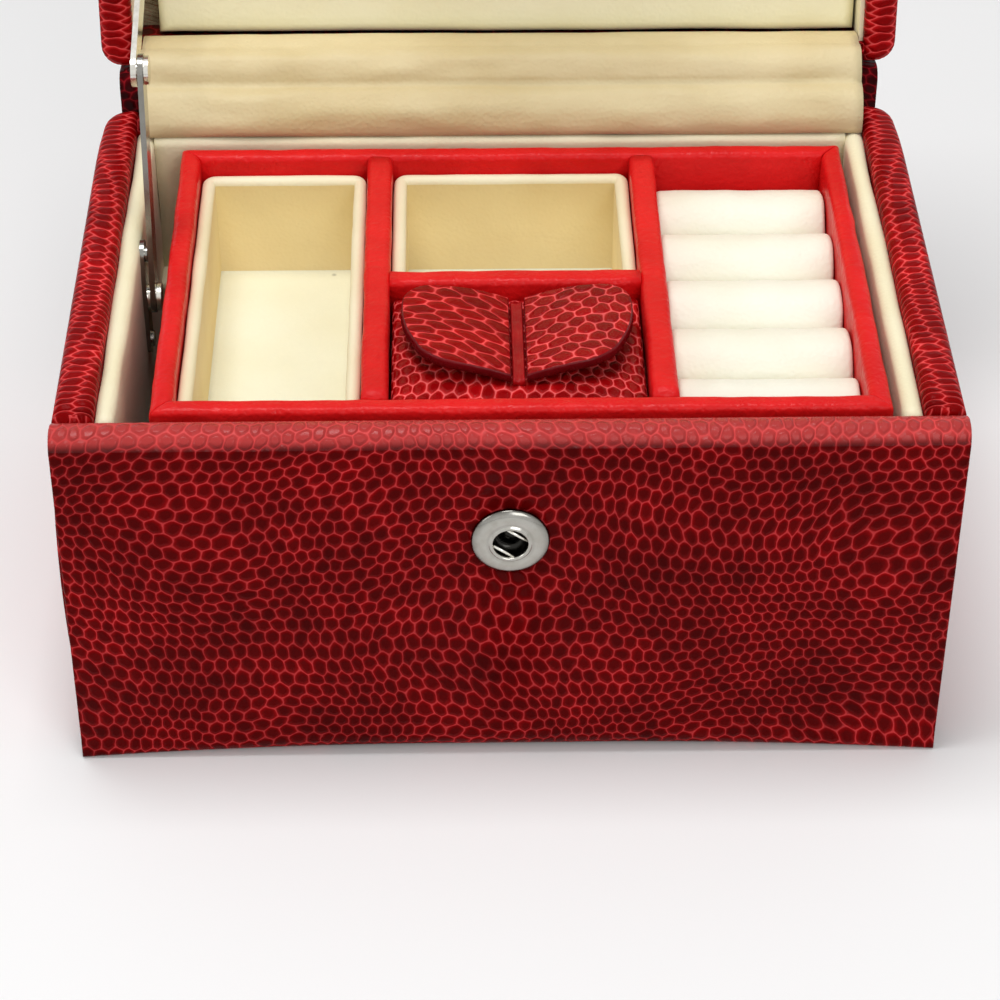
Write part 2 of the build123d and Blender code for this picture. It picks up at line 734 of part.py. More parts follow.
def lined_bin(x_span, y_span, rim):
    """An open bin with padded walls, round corners and a rolled rim."""
    x_span, y_span = shrink(x_span, bin_gap), shrink(y_span, bin_gap)
    shell = block(x_span, y_span, (tray_base_top, rim))
    hollow = block(
        shrink(x_span, bin_wall), shrink(y_span, bin_wall), (tray_base_top + bin_floor, rim + overrun)
    )
    hollow = fillet(hollow.edges().filter_by(Axis.Z), bin_corner)
    shell -= hollow
    return fillet(shell.faces().sort_by(Axis.Z)[-1].edges(), bin_rim_round)


left_x = (inside_x[0], left_divider[0])
rear_y = (crossbar[1], inside_y[1])
front_y = (inside_y[0], crossbar[0])
parts["left_bin"] = lined_bin(left_x, inside_y, bin_rim)
parts["rear_bin"] = lined_bin(centre_x, rear_y, bin_rim)
parts["covered_bin"] = lined_bin(centre_x, front_y, covered_rim)

# Ring rolls: padded bars side by side on a thin bed
ring_x = shrink((right_divider[1], inside_x[1]), bin_gap)
ring_y = shrink(inside_y, bin_gap)
bed_top = tray_base_top + ring_bed_thickness
parts["ring_bed"] = block(ring_x, ring_y, (tray_base_top, bed_top))
roll_pitch = (ring_y[1] - ring_y[0]) / roll_count
roll_width = roll_pitch - roll_gap
roll_section = half_round_top(roll_width, bed_top, tray_rim - roll_below_rim)
ring_rolls = []
for index in range(roll_count):
    start = ring_y[0] + index * roll_pitch + roll_gap / 2
    roll = along_x(Pos(start, 0) * roll_section, ring_x)
    ends = roll.faces().filter_by(Axis.X)
    rims = [edge for face in ends for edge in face.edges() if edge.center().Z > bed_top]
    ring_rolls.append(fillet(rims, roll_end_round))
parts["ring_rolls"] = Compound(children=ring_rolls)

# Covered compartment: a crowned hatch with a half-moon pull of two wings
hatch_x = shrink(centre_x, hatch_gap)
hatch_y = shrink(front_y, hatch_gap)
parts["compartment_lid"] = pillow(hatch_x, hatch_y, covered_rim, hatch_top - hatch_crown, hatch_top)
pull_at = (hatch_x[0] + hatch_x[1]) / 2
pull_y = (hatch_y[1] - pull_rear_inset - pull_length, hatch_y[1] - pull_rear_inset)
seam = block(about(pull_at, pull_seam_width), pull_y, (hatch_top, hatch_top + pull_seam_height))
parts["pull_seam"] = fillet(seam.edges().filter_by(Axis.Y).sort_by(Axis.Z)[-2:], pull_seam_round)
pull_z = hatch_top + pull_leather / 2 + pull_lift


def pull_wing(side):
    """One wing: a quarter oval of leather, round at its hinge edge and tilted up from the seam."""
    hinge_x = pull_seam_width / 2 + pull_leather / 2 + 2 * running_gap
    outline = make_face(
        Polyline((0, -pull_length), (0, 0), (pull_reach, 0))
        + EllipticalCenterArc((0, 0), pull_reach, pull_length, start_angle=270, arc_size=90)
    )
    leaf = extrude(Pos(0, 0, -pull_leather / 2) * outline, amount=pull_leather)
    tip = leaf.edges().filter_by(Axis.Z).sort_by(Axis.X)[-1]
    leaf = fillet(tip, pull_tip_round)
    hinge_edge = Pos(0, -pull_length, 0) * Rot(X=-90) * Circle(pull_leather / 2)
    wing = leaf + extrude(hinge_edge, amount=pull_length)
    wing = Pos(hinge_x, pull_y[1], 0) * Rot(Y=-pull_tilt) * wing
    if side < 0:
        wing = mirror(wing, Plane.YZ)
    return Pos(pull_at, 0, pull_z) * wing


parts["pull_wing_left"] = pull_wing(-1)
parts["pull_wing_right"] = pull_wing(1)

os.makedirs("parts", exist_ok=True)
for name, piece in parts.items():
    export_step(piece, f"parts/{name}.step")
print(len(parts), "nodes; stay elbow", stay_elbow, "lid pivot", lid_pivot)
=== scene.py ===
"""Looks of the travel jewellery box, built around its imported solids."""
from math import asin, atan2, cos, pi, radians, sin

import bmesh
import bpy
from mathutils import Matrix, Vector, noise


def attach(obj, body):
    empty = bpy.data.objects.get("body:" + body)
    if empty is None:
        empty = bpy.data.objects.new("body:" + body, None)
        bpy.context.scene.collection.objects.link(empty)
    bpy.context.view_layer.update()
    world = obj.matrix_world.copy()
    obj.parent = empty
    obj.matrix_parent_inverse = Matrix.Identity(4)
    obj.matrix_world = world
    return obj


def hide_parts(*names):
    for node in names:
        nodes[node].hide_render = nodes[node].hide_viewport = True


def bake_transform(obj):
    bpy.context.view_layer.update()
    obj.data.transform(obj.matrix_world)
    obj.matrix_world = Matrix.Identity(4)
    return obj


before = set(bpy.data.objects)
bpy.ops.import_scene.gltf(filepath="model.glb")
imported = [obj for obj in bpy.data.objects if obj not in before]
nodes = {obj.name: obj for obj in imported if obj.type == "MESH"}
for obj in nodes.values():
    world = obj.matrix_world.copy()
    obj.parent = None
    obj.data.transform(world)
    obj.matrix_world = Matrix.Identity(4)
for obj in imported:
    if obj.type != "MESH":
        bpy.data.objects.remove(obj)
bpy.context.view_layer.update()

# View: the box stands on a pale floor in soft studio light, seen from the front and above
# with a long lens, as a catalogue picture is taken.
mm = 0.001
scene = bpy.context.scene
scene.view_settings.view_transform = "Standard"
yaw, pitch, roll = radians(1.16), radians(38.14), radians(0.20)
ahead = Vector((sin(yaw) * cos(pitch), cos(yaw) * cos(pitch), -sin(pitch)))
right = Vector((cos(yaw), -sin(yaw), 0))
up = right.cross(ahead)
right, up = cos(roll) * right + sin(roll) * up, cos(roll) * up - sin(roll) * right
camera = bpy.data.objects.new("camera", bpy.data.cameras.new("camera"))
camera.data.lens = 105.17
camera.data.sensor_width = 36
camera_place = Vector((-9.7, -444.2, 365.4)) * mm
facing_in = Matrix((right, up, -ahead)).transposed().to_4x4()
camera.matrix_world = Matrix.Translation(camera_place) @ facing_in
scene.collection.objects.link(camera)
scene.camera = camera

floor_mesh = bmesh.new()
bmesh.ops.create_grid(floor_mesh, x_segments=2, y_segments=2, size=3)
floor = bpy.data.objects.new("floor", bpy.data.meshes.new("floor"))
floor_mesh.to_mesh(floor.data)
floor_mesh.free()
scene.collection.objects.link(floor)


def shader(name):
    """A new material with its node tree and its main shader."""
    material = bpy.data.materials.new(name)
    material.use_nodes = True
    tree = material.node_tree
    return material, tree, tree.nodes["Principled BSDF"]


def add(tree, kind, links=(), **settings):
    """A new node with its settings, and links given as (socket, source socket or value)."""
    made = tree.nodes.new("ShaderNode" + kind)
    for key, value in settings.items():
        setattr(made, key, value)
    for socket, source in links:
        if isinstance(source, bpy.types.NodeSocket):
            tree.links.new(source, made.inputs[socket])
        else:
            made.inputs[socket].default_value = source
    return made


floor_paint, tree, surface = shader("pale_floor")
surface.inputs["Base Color"].default_value = (0.9, 0.9, 0.9, 1)
surface.inputs["Roughness"].default_value = 0.8
floor.data.materials.append(floor_paint)

world = bpy.data.worlds.new("studio")
scene.world = world
world.use_nodes = True
tree = world.node_tree
tree.nodes.clear()
path = add(tree, "LightPath")
direct = add(tree, "Math", [(0, path.outputs["Is Camera Ray"]), (1, path.outputs["Is Transmission Ray"])],
             operation="MAXIMUM")
seen = add(tree, "Math", [(0, direct.outputs[0]), (1, path.outputs["Is Glossy Ray"])], operation="MAXIMUM")
studio_light = add(tree, "Background", [("Color", (1, 1, 1, 1)), ("Strength", 0.42)])
white = add(tree, "Background", [("Color", (1, 1, 1, 1)), ("Strength", 1.0)])
mixed = add(tree, "MixShader", [(0, seen.outputs[0]), (1, studio_light.outputs[0]), (2, white.outputs[0])])
tree.links.new(mixed.outputs[0], add(tree, "OutputWorld").inputs["Surface"])


def softbox(name, place, size, watts):
    """A square soft light aimed at the middle of the box."""
    lamp = bpy.data.lights.new(name, "AREA")
    lamp.size = size
    lamp.energy = watts
    box = bpy.data.objects.new(name, lamp)
    aim = Vector((0, 0, 0.06)) - Vector(place)
    box.matrix_world = Matrix.Translation(place) @ aim.to_track_quat("-Z", "Y").to_matrix().to_4x4()
    scene.collection.objects.link(box)


softbox("light_above", (-0.12, 0.0, 1.0), 0.4, 5.0)
softbox("light_front", (0.35, -0.9, 0.75), 0.6, 3.6)
softbox("light_left", (-0.9, -0.25, 0.55), 0.4, 1.2)

# Case covers: embossed red hide glued over the boards and turned over the rim into the case.
# The front runs the full width, and the padded sides swell a little and butt against it.
case_low, case_high = Vector((-77.5, -54, 0)), Vector((77.5, 54, 72.5))
case_wall = 7.0
case_rim = 3.5
case_shoulder = 69.0
case_foot = 4.0
case_corner = 5.0
inside_x, inside_y = case_high.x - case_wall, case_high.y - case_wall


def box_mesh(low, high):
    """A box between two corners, in mm."""
    bm = bmesh.new()
    bmesh.ops.create_cube(bm, size=1)
    low, high = Vector(low), Vector(high)
    bmesh.ops.scale(bm, vec=high - low, verts=bm.verts)
    bmesh.ops.translate(bm, vec=(low + high) / 2, verts=bm.verts)
    return bm


def middle_of(edge):
    """The middle of an edge."""
    return (edge.verts[0].co + edge.verts[1].co) / 2


def edges_along(bm, axis, **at):
    """The edges along an axis whose middles lie at the given places on the others."""
    found = []
    for edge in bm.edges:
        step = edge.verts[1].co - edge.verts[0].co
        middle = middle_of(edge)
        there = all(abs(getattr(middle, k) - v) < 1e-3 for k, v in at.items())
        if there and abs(step[axis]) > 0.99 * step.length:
            found.append(edge)
    return found


def edges_where(bm, test):
    """The edges with both ends where a test holds."""
    return [e for e in bm.edges if all(test(v.co) for v in e.verts)]


def new_verts(made):
    """The vertices that an extrusion made."""
    return [v for v in made["geom"] if isinstance(v, bmesh.types.BMVert)]


def round_off(bm, edges, radius, segments=6):
    """Round some edges."""
    bmesh.ops.bevel(bm, geom=edges, offset=radius, segments=segments, profile=0.5, affect="EDGES",
                    material=-1, clamp_overlap=True)
    bmesh.ops.remove_doubles(bm, verts=bm.verts, dist=1e-4)


def cut(bm, axis, at):
    """Cut a mesh right through at one place on an axis."""
    normal = Vector((0, 0, 0))
    normal[axis] = 1
    bmesh.ops.bisect_plane(bm, geom=bm.verts[:] + bm.edges[:] + bm.faces[:], dist=1e-4,
                           plane_co=normal * at, plane_no=normal)


def slice_up(bm, axis, step):
    """Cut a mesh across an axis at even steps, so that it can bend."""
    places = [v.co[axis] for v in bm.verts]
    low, high = min(places), max(places)
    count = max(1, round((high - low) / step))
    for i in range(1, count):
        cut(bm, axis, low + (high - low) * i / count)


def lay_grain(bm, unroll):
    """A UV map in mm that unrolls the hide flat."""
    layer = bm.loops.layers.uv.new("grain")
    for face in bm.faces:
        for loop in face.loops:
            loop[layer].uv = unroll(loop.vert.co, face.normal)


def round_wall(inward, height, radius):
    """How far over a wall of a given rim radius a point lies, measured from the shoulder."""
    if height > 0:
        return radius * atan2(height, radius - inward)
    return pi * radius - height if inward > radius else height


def settle(bm, name, material, body=None, replaced=()):
    """Make a mesh in mm a finished piece in metres that rides on a body."""
    bmesh.ops.scale(bm, vec=(mm, mm, mm), verts=bm.verts)
    bmesh.ops.recalc_face_normals(bm, faces=bm.faces)
    mesh = bpy.data.meshes.new(name)
    bm.to_mesh(mesh)
    bm.free()
    mesh.polygons.foreach_set("use_smooth", [True] * len(mesh.polygons))
    piece = bpy.data.objects.new(name, mesh)
    scene.collection.objects.link(piece)
    mesh.materials.append(material)
    if body:
        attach(piece, body)
    if replaced:
        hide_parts(*replaced)
    return piece


def two_tone(tree, source, first, second):
    """A colour ramp between two stops, each a place and a colour."""
    made = add(tree, "ValToRGB", [(0, source)])
    for i, (place, colour) in enumerate((first, second)):
        stop = made.color_ramp.elements[i]
        stop.position, stop.color = place, (*colour, 1)
    return made


def ranged(tree, source, low, high, least, most, **settings):
    """A value mapped from one range to another."""
    links = [(0, source), (1, low), (2, high), (3, least), (4, most)]
    return add(tree, "MapRange", links, **settings).outputs[0]


def scaled_tone(tree, colour, amount):
    """A colour made darker or lighter by a value."""
    return add(tree, "VectorMath", [(0, colour), ("Scale", amount)], operation="SCALE").outputs[0]


def emboss(tree, surface, height, depth, strength=1.0):
    """Relief of a given depth, in mm, on a shader."""
    bump = add(tree, "Bump", [("Height", height), ("Distance", depth * mm), ("Strength", strength)])
    tree.links.new(bump.outputs[0], surface.inputs["Normal"])


def scaled_hide(name, across, turn=0.0, line=(0.38, 0.026, 0.028), flesh=(0.185, 0.0012, 0.002),
                dark=(0.078, 0.0002, 0.0004), relief=0.2, roughness=0.34, shine=0.03, rim_highlight=0.0):
    """Glazed embossed hide: dark domed scales in staggered rows, with brighter red creases between them, and
    optionally a painted highlight over a rolled rim.
    """
    material, tree, surface = shader(name)
    grain = add(tree, "UVMap", uv_map="grain")
    laid = add(tree, "Mapping", [("Vector", grain.outputs[0]), ("Rotation", (0, 0, turn))])
    nothing = (0, 0, 0)
    row = 3**0.5

    def vector(kind, first, second):
        return add(tree, "VectorMath", [(0, first), (1, second)], operation=kind).outputs[0]

    def length(kind, *sources):
        return add(tree, "VectorMath", list(enumerate(sources)), operation=kind).outputs["Value"]

    def flat_noise(start, scale, detail):
        links = [("Vector", start), ("Scale", scale), ("Detail", detail)]
        return add(tree, "TexNoise", links, noise_dimensions="2D").outputs

    def sway(scale, amount, start):
        pull = vector("SUBTRACT", flat_noise(start, scale, 1.0)["Color"], (0.5, 0.5, 0.5))
        return vector("ADD", start, vector("MULTIPLY", pull, (amount, amount, 0)))

    flow = sway(0.02, 16.0, laid.outputs[0])
    flow = sway(0.3, 1.25, flow)
    flow = vector("MULTIPLY", flow, (1 / across[0], 1 / across[1], 0))
    rows = vector("MULTIPLY", flow, (1, 1 / row, 0))
    even = vector("FLOOR", vector("ADD", rows, (0.5, 0.5, 0)), nothing)
    even = vector("MULTIPLY", even, (1, row, 0))
    odd = vector("ADD", vector("FLOOR", rows, nothing), (0.5, 0.5, 0))
    odd = vector("MULTIPLY", odd, (1, row, 0))
    to_even, to_odd = vector("SUBTRACT", flow, even), vector("SUBTRACT", flow, odd)
    near_even, near_odd = length("LENGTH", to_even), length("LENGTH", to_odd)
    pick = add(tree, "Math", [(0, near_odd), (1, near_even)], operation="LESS_THAN").outputs[0]
    step = add(tree, "Mix", [(0, pick), (4, to_even), (5, to_odd)], data_type="VECTOR").outputs[1]
    middle = add(tree, "Mix", [(0, pick), (4, even), (5, odd)], data_type="VECTOR").outputs[1]
    away = vector("ABSOLUTE", step, nothing)
    slant = length("DOT_PRODUCT", away, (0.5, 0.866, 0))
    across_row = add(tree, "SeparateXYZ", [(0, away)]).outputs[0]
    hexagon = add(tree, "Math", [(0, across_row), (1, slant)], operation="MAXIMUM").outputs[0]
    rounded = add(tree, "Math", [(0, hexagon), (1, length("LENGTH", away))], operation="ADD").outputs[0]
    rim = add(tree, "Math", [(0, rounded), (1, -0.5), (2, 0.5)], operation="MULTIPLY_ADD").outputs[0]

    paint = two_tone(tree, rim, (0.008, line), (0.27, dark))
    stops = paint.color_ramp.elements
    for place, share in ((0.03, 0.6), (0.06, 1.0)):
        stops.new(place).color = (*[a + share * (b - a) for a, b in zip(line, flesh)], 1)
    stops.new(0.17).color = (*[a + 0.7 * (b - a) for a, b in zip(flesh, dark)], 1)
    faded = ranged(tree, flat_noise(grain.outputs[0], 0.05, 4.0)[0], 0.3, 0.7, 0.8, 1.3)
    chance = add(tree, "TexWhiteNoise", [("Vector", middle)], noise_dimensions="2D").outputs["Value"]
    varied = ranged(tree, chance, 0.0, 1.0, 0.8, 1.25)
    both = add(tree, "Math", [(0, faded), (1, varied)], operation="MULTIPLY").outputs[0]
    colour = scaled_tone(tree, paint.outputs[0], both)
    # Painted highlight: over the rolled rim the colour is blended toward pale pink, standing in for the lamp's
    # light on the curve.
    if rim_highlight:
        over = add(tree, "SeparateXYZ", [(0, grain.outputs[0])]).outputs[1]
        highlight_share = ranged(tree, over, 0.6, 2.6, 0.0, rim_highlight, interpolation_type="SMOOTHSTEP")
        links = [(0, highlight_share), (6, colour), (7, (0.85, 0.085, 0.08, 1))]
        colour = add(tree, "Mix", links, data_type="RGBA").outputs[2]
    tree.links.new(colour, surface.inputs["Base Color"])
    dome = ranged(tree, rim, 0.0, 0.26, 0.0, 1.0, interpolation_type="SMOOTHSTEP")
    pores = flat_noise(grain.outputs[0], 2.2, 3.0)[0]
    fine = add(tree, "Math", [(0, pores), (1, 0.1), (2, dome)], operation="MULTIPLY_ADD").outputs[0]
    emboss(tree, surface, fine, relief)
    gloss = ranged(tree, dome, 0.0, 1.0, roughness + 0.2, roughness)
    tree.links.new(gloss, surface.inputs["Roughness"])
    surface.inputs["Specular IOR Level"].default_value = shine
    return material


front_hide = scaled_hide("front_hide", (2.5, 3.1))
# The rim hide carries that painted highlight over the rolled rim.
rim_hide = scaled_hide("rim_hide", (2.5, 3.1), relief=0.3, roughness=0.24, shine=0.15, rim_highlight=0.42)
side_hide = scaled_hide("side_hide", (2.0, 4.2), line=(0.6, 0.06, 0.06), flesh=(0.34, 0.004, 0.005),
                        dark=(0.19, 0.001, 0.0015), relief=0.3, roughness=0.26)

front = box_mesh(case_low, (case_high.x, case_low.y + case_wall, case_high.z))
round_off(front, edges_along(front, 0, z=case_high.z), case_rim - 0.02, 8)
round_off(front, edges_along(front, 0, z=case_low.z, y=case_low.y), case_foot)
end_edges = [e for e in front.edges if abs(middle_of(e).x) > case_high.x - 5e-4]
round_off(front, end_edges, 0.9, 3)
slice_up(front, 0, 5)
roll_middle, roll_loss, roll_even = 5.2, 4.4, 15
for vert in front.verts:
    inward = vert.co.y - case_low.y
    if max(inward, vert.co.z) < case_foot + 0.01:
        swing = atan2(case_foot - vert.co.z, case_foot - inward)
        toward_end = max(0.0, (abs(vert.co.x) - roll_even) / (case_high.x - roll_even))
        bend = roll_middle - roll_loss * toward_end**2
        vert.co.y = case_low.y + bend * (1 - cos(swing))
        vert.co.z = bend * (1 - sin(swing))
snap_z = 50.2
pocket, pocket_depth = 4.3, 2.3
for axis, at in ((0, -pocket), (0, pocket), (2, snap_z - pocket), (2, snap_z + pocket)):
    cut(front, axis, at)


def in_pocket(face):
    """Whether a face lies behind the snap on the outside of the front."""
    centre = face.calc_center_median()
    return face.normal.y < -0.9 and abs(centre.x) < pocket and abs(centre.z - snap_z) < pocket


facing = [f for f in front.faces if in_pocket(f)]
sunk = bmesh.ops.extrude_face_region(front, geom=facing)
bmesh.ops.translate(front, vec=(0, pocket_depth, 0), verts=new_verts(sunk))
bmesh.ops.delete(front, geom=facing, context="FACES")


def front_grain(co, n):
    """The front hide unrolled over its rim and around its ends."""
    inward = co.y - case_low.y
    return (co.x + inward * n.x * (abs(n.x) > 0.7),
            round_wall(inward, co.z - case_shoulder, case_rim))


lay_grain(front, front_grain)
for face in front.faces:
    face.material_index = int(face.calc_center_median().z > case_shoulder + 0.6)
front_piece = settle(front, "front_cover", front_hide, "case", ["case_front_cover"])
front_piece.data.materials.append(rim_hide)

swell, draw, draw_start = 1.5, 1.1, 36
for side in (-1, 1):
    outer = side * case_high.x
    inner = side * inside_x
    cover = box_mesh((min(outer, inner), case_low.y + case_wall, 0), (max(outer, inner), case_high.y, case_high.z))
    round_off(cover, edges_along(cover, 2, x=outer, y=case_high.y), case_corner)
    top = [e for e in edges_where(cover, lambda co: abs(co.z - case_high.z) < 1e-3)
           if abs(middle_of(e).y - (case_low.y + case_wall)) > 0.01]
    round_off(cover, top, case_rim - 0.02, 8)
    round_off(cover, edges_along(cover, 1, x=outer, z=0), case_foot)
    slice_up(cover, 2, 6)
    slice_up(cover, 1, 6)
    for vert in cover.verts:
        rise = (vert.co.z - case_foot) / (case_shoulder - case_foot)
        if 0 < rise < 1 and abs(vert.co.x) > abs(inner) + 0.5:
            share = (abs(vert.co.x) - abs(inner)) / case_wall
            ease = min(1.0, (case_high.y - vert.co.y) / 6.0)
            vert.co.x += side * swell * 4 * rise * (1 - rise) * share * ease
        toward_rear = max(0.0, (vert.co.y - draw_start) / (case_high.y - draw_start))
        drawn_in = toward_rear**2 * (abs(vert.co.x) - abs(inner)) / case_wall
        vert.co.x -= side * draw * drawn_in

    def side_grain(co, n):
        """The side hide unrolled over its rim and around its corner."""
        inward = max(0.0, abs(outer) - abs(co.x))
        return (co.y + inward * (abs(n.y) > 0.5),
                round_wall(inward, co.z - case_shoulder, case_rim))

    lay_grain(cover, side_grain)
    name = "left" if side < 0 else "right"
    settle(cover, name + "_cover", side_hide, "case", [f"case_{name}_cover"])

back = box_mesh((-inside_x, inside_y, 0), (inside_x, case_high.y, case_high.z))
round_off(back, edges_along(back, 0, z=case_high.z), case_rim - 0.02, 8)
round_off(back, edges_along(back, 0, z=0, y=case_high.y), case_foot)
slice_up(back, 0, 10)
lay_grain(back, lambda co, n: (co.x, round_wall(case_high.y - co.y, co.z - case_shoulder, case_rim)))
settle(back, "back_cover", front_hide, "case", ["case_back_cover"])

base = box_mesh((-inside_x, -inside_y, 0), (inside_x, inside_y, 1.2))
slice_up(base, 0, 20)
lay_grain(base, lambda co, n: (co.x, co.y))
settle(base, "base_cover", front_hide, "case", ["case_base_cover"])


# Boards: pressed board inside the walls, base and lid, wholly covered by hide and lining.
# They are cut and glued before the covers go on.
def dress(names, material):
    """Give solids that keep their shape a finish."""
    for name in names:
        nodes[name].data.materials.clear()
        nodes[name].data.materials.append(material)


board, tree, surface = shader("pressed_board")
where = add(tree, "TexCoord")
chips = add(tree, "TexNoise", [("Vector", where.outputs["Object"]), ("Scale", 900), ("Detail", 4.0)])
brown = two_tone(tree, chips.outputs[0], (0.0, (0.30, 0.21, 0.12)), (1.0, (0.55, 0.43, 0.28)))
tree.links.new(brown.outputs[0], surface.inputs["Base Color"])
surface.inputs["Roughness"].default_value = 0.85
dress(["case_wall_boards", "case_base_board", "lid_wall_boards", "lid_top_board"], board)


# Case linings: cream kid leather over thin wadding on card panels, pushed into the case.
# Their rolled tops stand just below the rim, and the ledges behind them carry the tray.
def soft_kid(name, colour, shade, pucker=0.05, roughness=0.55):
    """Soft cream lining leather with a fine grain, faint tone changes and a few specks."""
    material, tree, surface = shader(name)
    where = add(tree, "TexCoord")
    tone = add(tree, "TexNoise", [("Vector", where.outputs["Object"]), ("Scale", 45), ("Detail", 3.0)])
    cream = two_tone(tree, tone.outputs[0], (0.3, shade), (0.62, colour))
    speck = add(tree, "TexVoronoi", [("Vector", where.outputs["Object"]), ("Scale", 55)], feature="F1")
    spot = ranged(tree, speck.outputs["Distance"], 0.022, 0.04, 0.55, 1.0)
    tree.links.new(scaled_tone(tree, cream.outputs[0], spot), surface.inputs["Base Color"])
    pebble = add(tree, "TexVoronoi", [("Vector", where.outputs["Object"]), ("Scale", 1400)], feature="SMOOTH_F1")
    fold = add(tree, "TexNoise", [("Vector", where.outputs["Object"]), ("Scale", 160), ("Detail", 3.0),
                                  ("Distortion", 0.6)])
    height = add(tree, "Math", [(0, fold.outputs[0]), (1, 2.0), (2, pebble.outputs["Distance"])],
                 operation="MULTIPLY_ADD")
    emboss(tree, surface, height.outputs[0], pucker)
    surface.inputs["Roughness"].default_value = roughness
    surface.inputs["Sheen Weight"].default_value = 0.08
    return material


cream_kid = soft_kid("cream_kid", (0.85, 0.79, 0.56), (0.81, 0.73, 0.48))


def ripple(bm, size, depth, seed, mask=None):
    """Move the surface a little in and out, as soft leather over wadding lies."""
    bm.normal_update()
    steps = []
    for vert in bm.verts:
        at = vert.co / size + Vector((seed, seed * 0.7, -seed))
        keep = 1.0 if mask is None else mask(vert.co)
        steps.append(vert.normal * (depth * keep * noise.noise(at)))
    for vert, step in zip(bm.verts, steps):
        vert.co += step


lining_foot, lining_top, front_top = 6.2, 71, 63.5
lining_places = {
    "lining_left": ((-inside_x, -inside_y, lining_foot), (-67, inside_y, lining_top), 1),
    "lining_right": ((67, -inside_y, lining_foot), (inside_x, inside_y, lining_top), 1),
    "lining_front": ((-67, -inside_y, lining_foot), (67, -44, front_top), 0),
    "lining_back": ((-67, 44, lining_foot), (67, inside_y, lining_top), 0),
}
for number, (name, (low, high, run)) in enumerate(lining_places.items()):
    panel = box_mesh(low, high)
    thickness = min(high[0] - low[0], high[1] - low[1])
    round_off(panel, edges_along(panel, run, z=high[2]), thickness / 2 - 0.02, 6)
    slice_up(panel, run, 3)
    slice_up(panel, 2, 4)
    ripple(panel, 11, 0.32, number * 3.1, lambda co: max(0.0, min(1.0, (co.z - 20) / 40)))
    piece = settle(panel, "padded_" + name, cream_kid, "case", [name])
floor_pad = box_mesh((-inside_x, -inside_y, 4.2), (inside_x, inside_y, lining_foot))
round_off(floor_pad, edges_where(floor_pad, lambda co: co.z > 6), 0.6, 3)
slice_up(floor_pad, 0, 5)
slice_up(floor_pad, 1, 5)
ripple(floor_pad, 14, 0.25, 8.0, lambda co: co.z > 6.1)
settle(floor_pad, "padded_floor", cream_kid, "case", ["lining_floor"])
dress(["tray_ledge_front", "tray_ledge_back", "lid_wall_linings", "ring_bed"], cream_kid)


# Snap: a nickel-plated spring socket with a plain domed ring, riveted through the front wall.
# Two drawn wires in the cup grip the stud on the closing tab.
def plated(name, bright=1.0, shaded_cup=False):
    """Nickel plate with a faint haze, and, in a cup, painted shade that darkens towards its back."""
    material, tree, surface = shader(name)
    where = add(tree, "TexCoord")
    haze = add(tree, "TexNoise", [("Vector", where.outputs["Object"]), ("Scale", 700), ("Detail", 5.0)])
    dull = ranged(tree, haze.outputs[0], 0.3, 0.7, 0.13, 0.22)
    tree.links.new(dull, surface.inputs["Roughness"])
    low, high = ([bright * part for part in tone] for tone in ((0.64, 0.615, 0.55), (0.72, 0.70, 0.64)))
    colour = two_tone(tree, haze.outputs[0], (0.35, low), (0.6, high)).outputs[0]
    # Painted shade: deeper in the cup the colour is darkened.
    if shaded_cup:
        inward = add(tree, "SeparateXYZ", [(0, where.outputs["Object"])]).outputs[1]
        colour = scaled_tone(tree, colour, ranged(tree, inward, -0.0552, -0.0542, 1.0, 0.06))
    tree.links.new(colour, surface.inputs["Base Color"])
    emboss(tree, surface, haze.outputs[0], 0.02, 0.6)
    surface.inputs["Metallic"].default_value = 1.0
    return material


nickel = plated("nickel_plate")
dress(["snap_post", "snap_stud", "snap_cap"], nickel)
ring = bmesh.new()
ring_wide, stem_wide = 6.8, 3.9
profile = ((ring_wide, -54.0), (ring_wide, -54.3), (6.5, -54.75), (5.6, -55.1), (4.4, -55.2), (3.95, -55.05),
           (3.75, -55.1), (3.6, -55.4), (3.35, -55.5), (3.1, -55.4), (3.0, -55.0), (3.0, -52.3), (1.5, -52.2),
           (1.3, -52.6), (0.8, -52.8), (0, -52.8))
trace = [ring.verts.new((r, y, 0)) for r, y in profile]
turned = [ring.edges.new(pair) for pair in zip(trace, trace[1:])]
bmesh.ops.spin(ring, geom=trace + turned, cent=(0, 0, 0), axis=(0, 1, 0), angle=2 * pi, steps=64,
               use_merge=True)
bmesh.ops.remove_doubles(ring, verts=ring.verts, dist=1e-4)
rear = bmesh.ops.extrude_edge_only(ring, edges=[e for e in ring.edges if e.is_boundary])
for vert in new_verts(rear):
    vert.co = Vector((vert.co.x * stem_wide / ring_wide, -53.95, vert.co.z * stem_wide / ring_wide))
deep = bmesh.ops.extrude_edge_only(ring, edges=[e for e in ring.edges if e.is_boundary])
bmesh.ops.translate(ring, vec=(0, 2.15, 0), verts=new_verts(deep))
bmesh.ops.holes_fill(ring, edges=[e for e in ring.edges if e.is_boundary], sides=0)
bmesh.ops.translate(ring, vec=(0, 0, snap_z), verts=ring.verts)
# The socket's nickel is painted darker overall, as painted shade for the dark surroundings it reflects, and darker
# still in its cup.
settle(ring, "snap_ring", plated("nickel_socket", 0.64, shaded_cup=True), "case", ["snap_socket"])
wires = bmesh.new()
for side in (-1, 1):
    made = bmesh.ops.create_cone(wires, cap_ends=True, segments=12, radius1=0.3, radius2=0.3, depth=4.2)
    wire = made["verts"]
    bmesh.ops.rotate(wires, cent=(0, 0, 0), matrix=Matrix.Rotation(radians(-55), 3, "Y"), verts=wire)
    bmesh.ops.translate(wires, vec=(side * 1.2, -54.9, snap_z + side * 1.72), verts=wire)
settle(wires, "grip_wires", plated("spring_wire", 1.1), "case", ["snap_spring"])

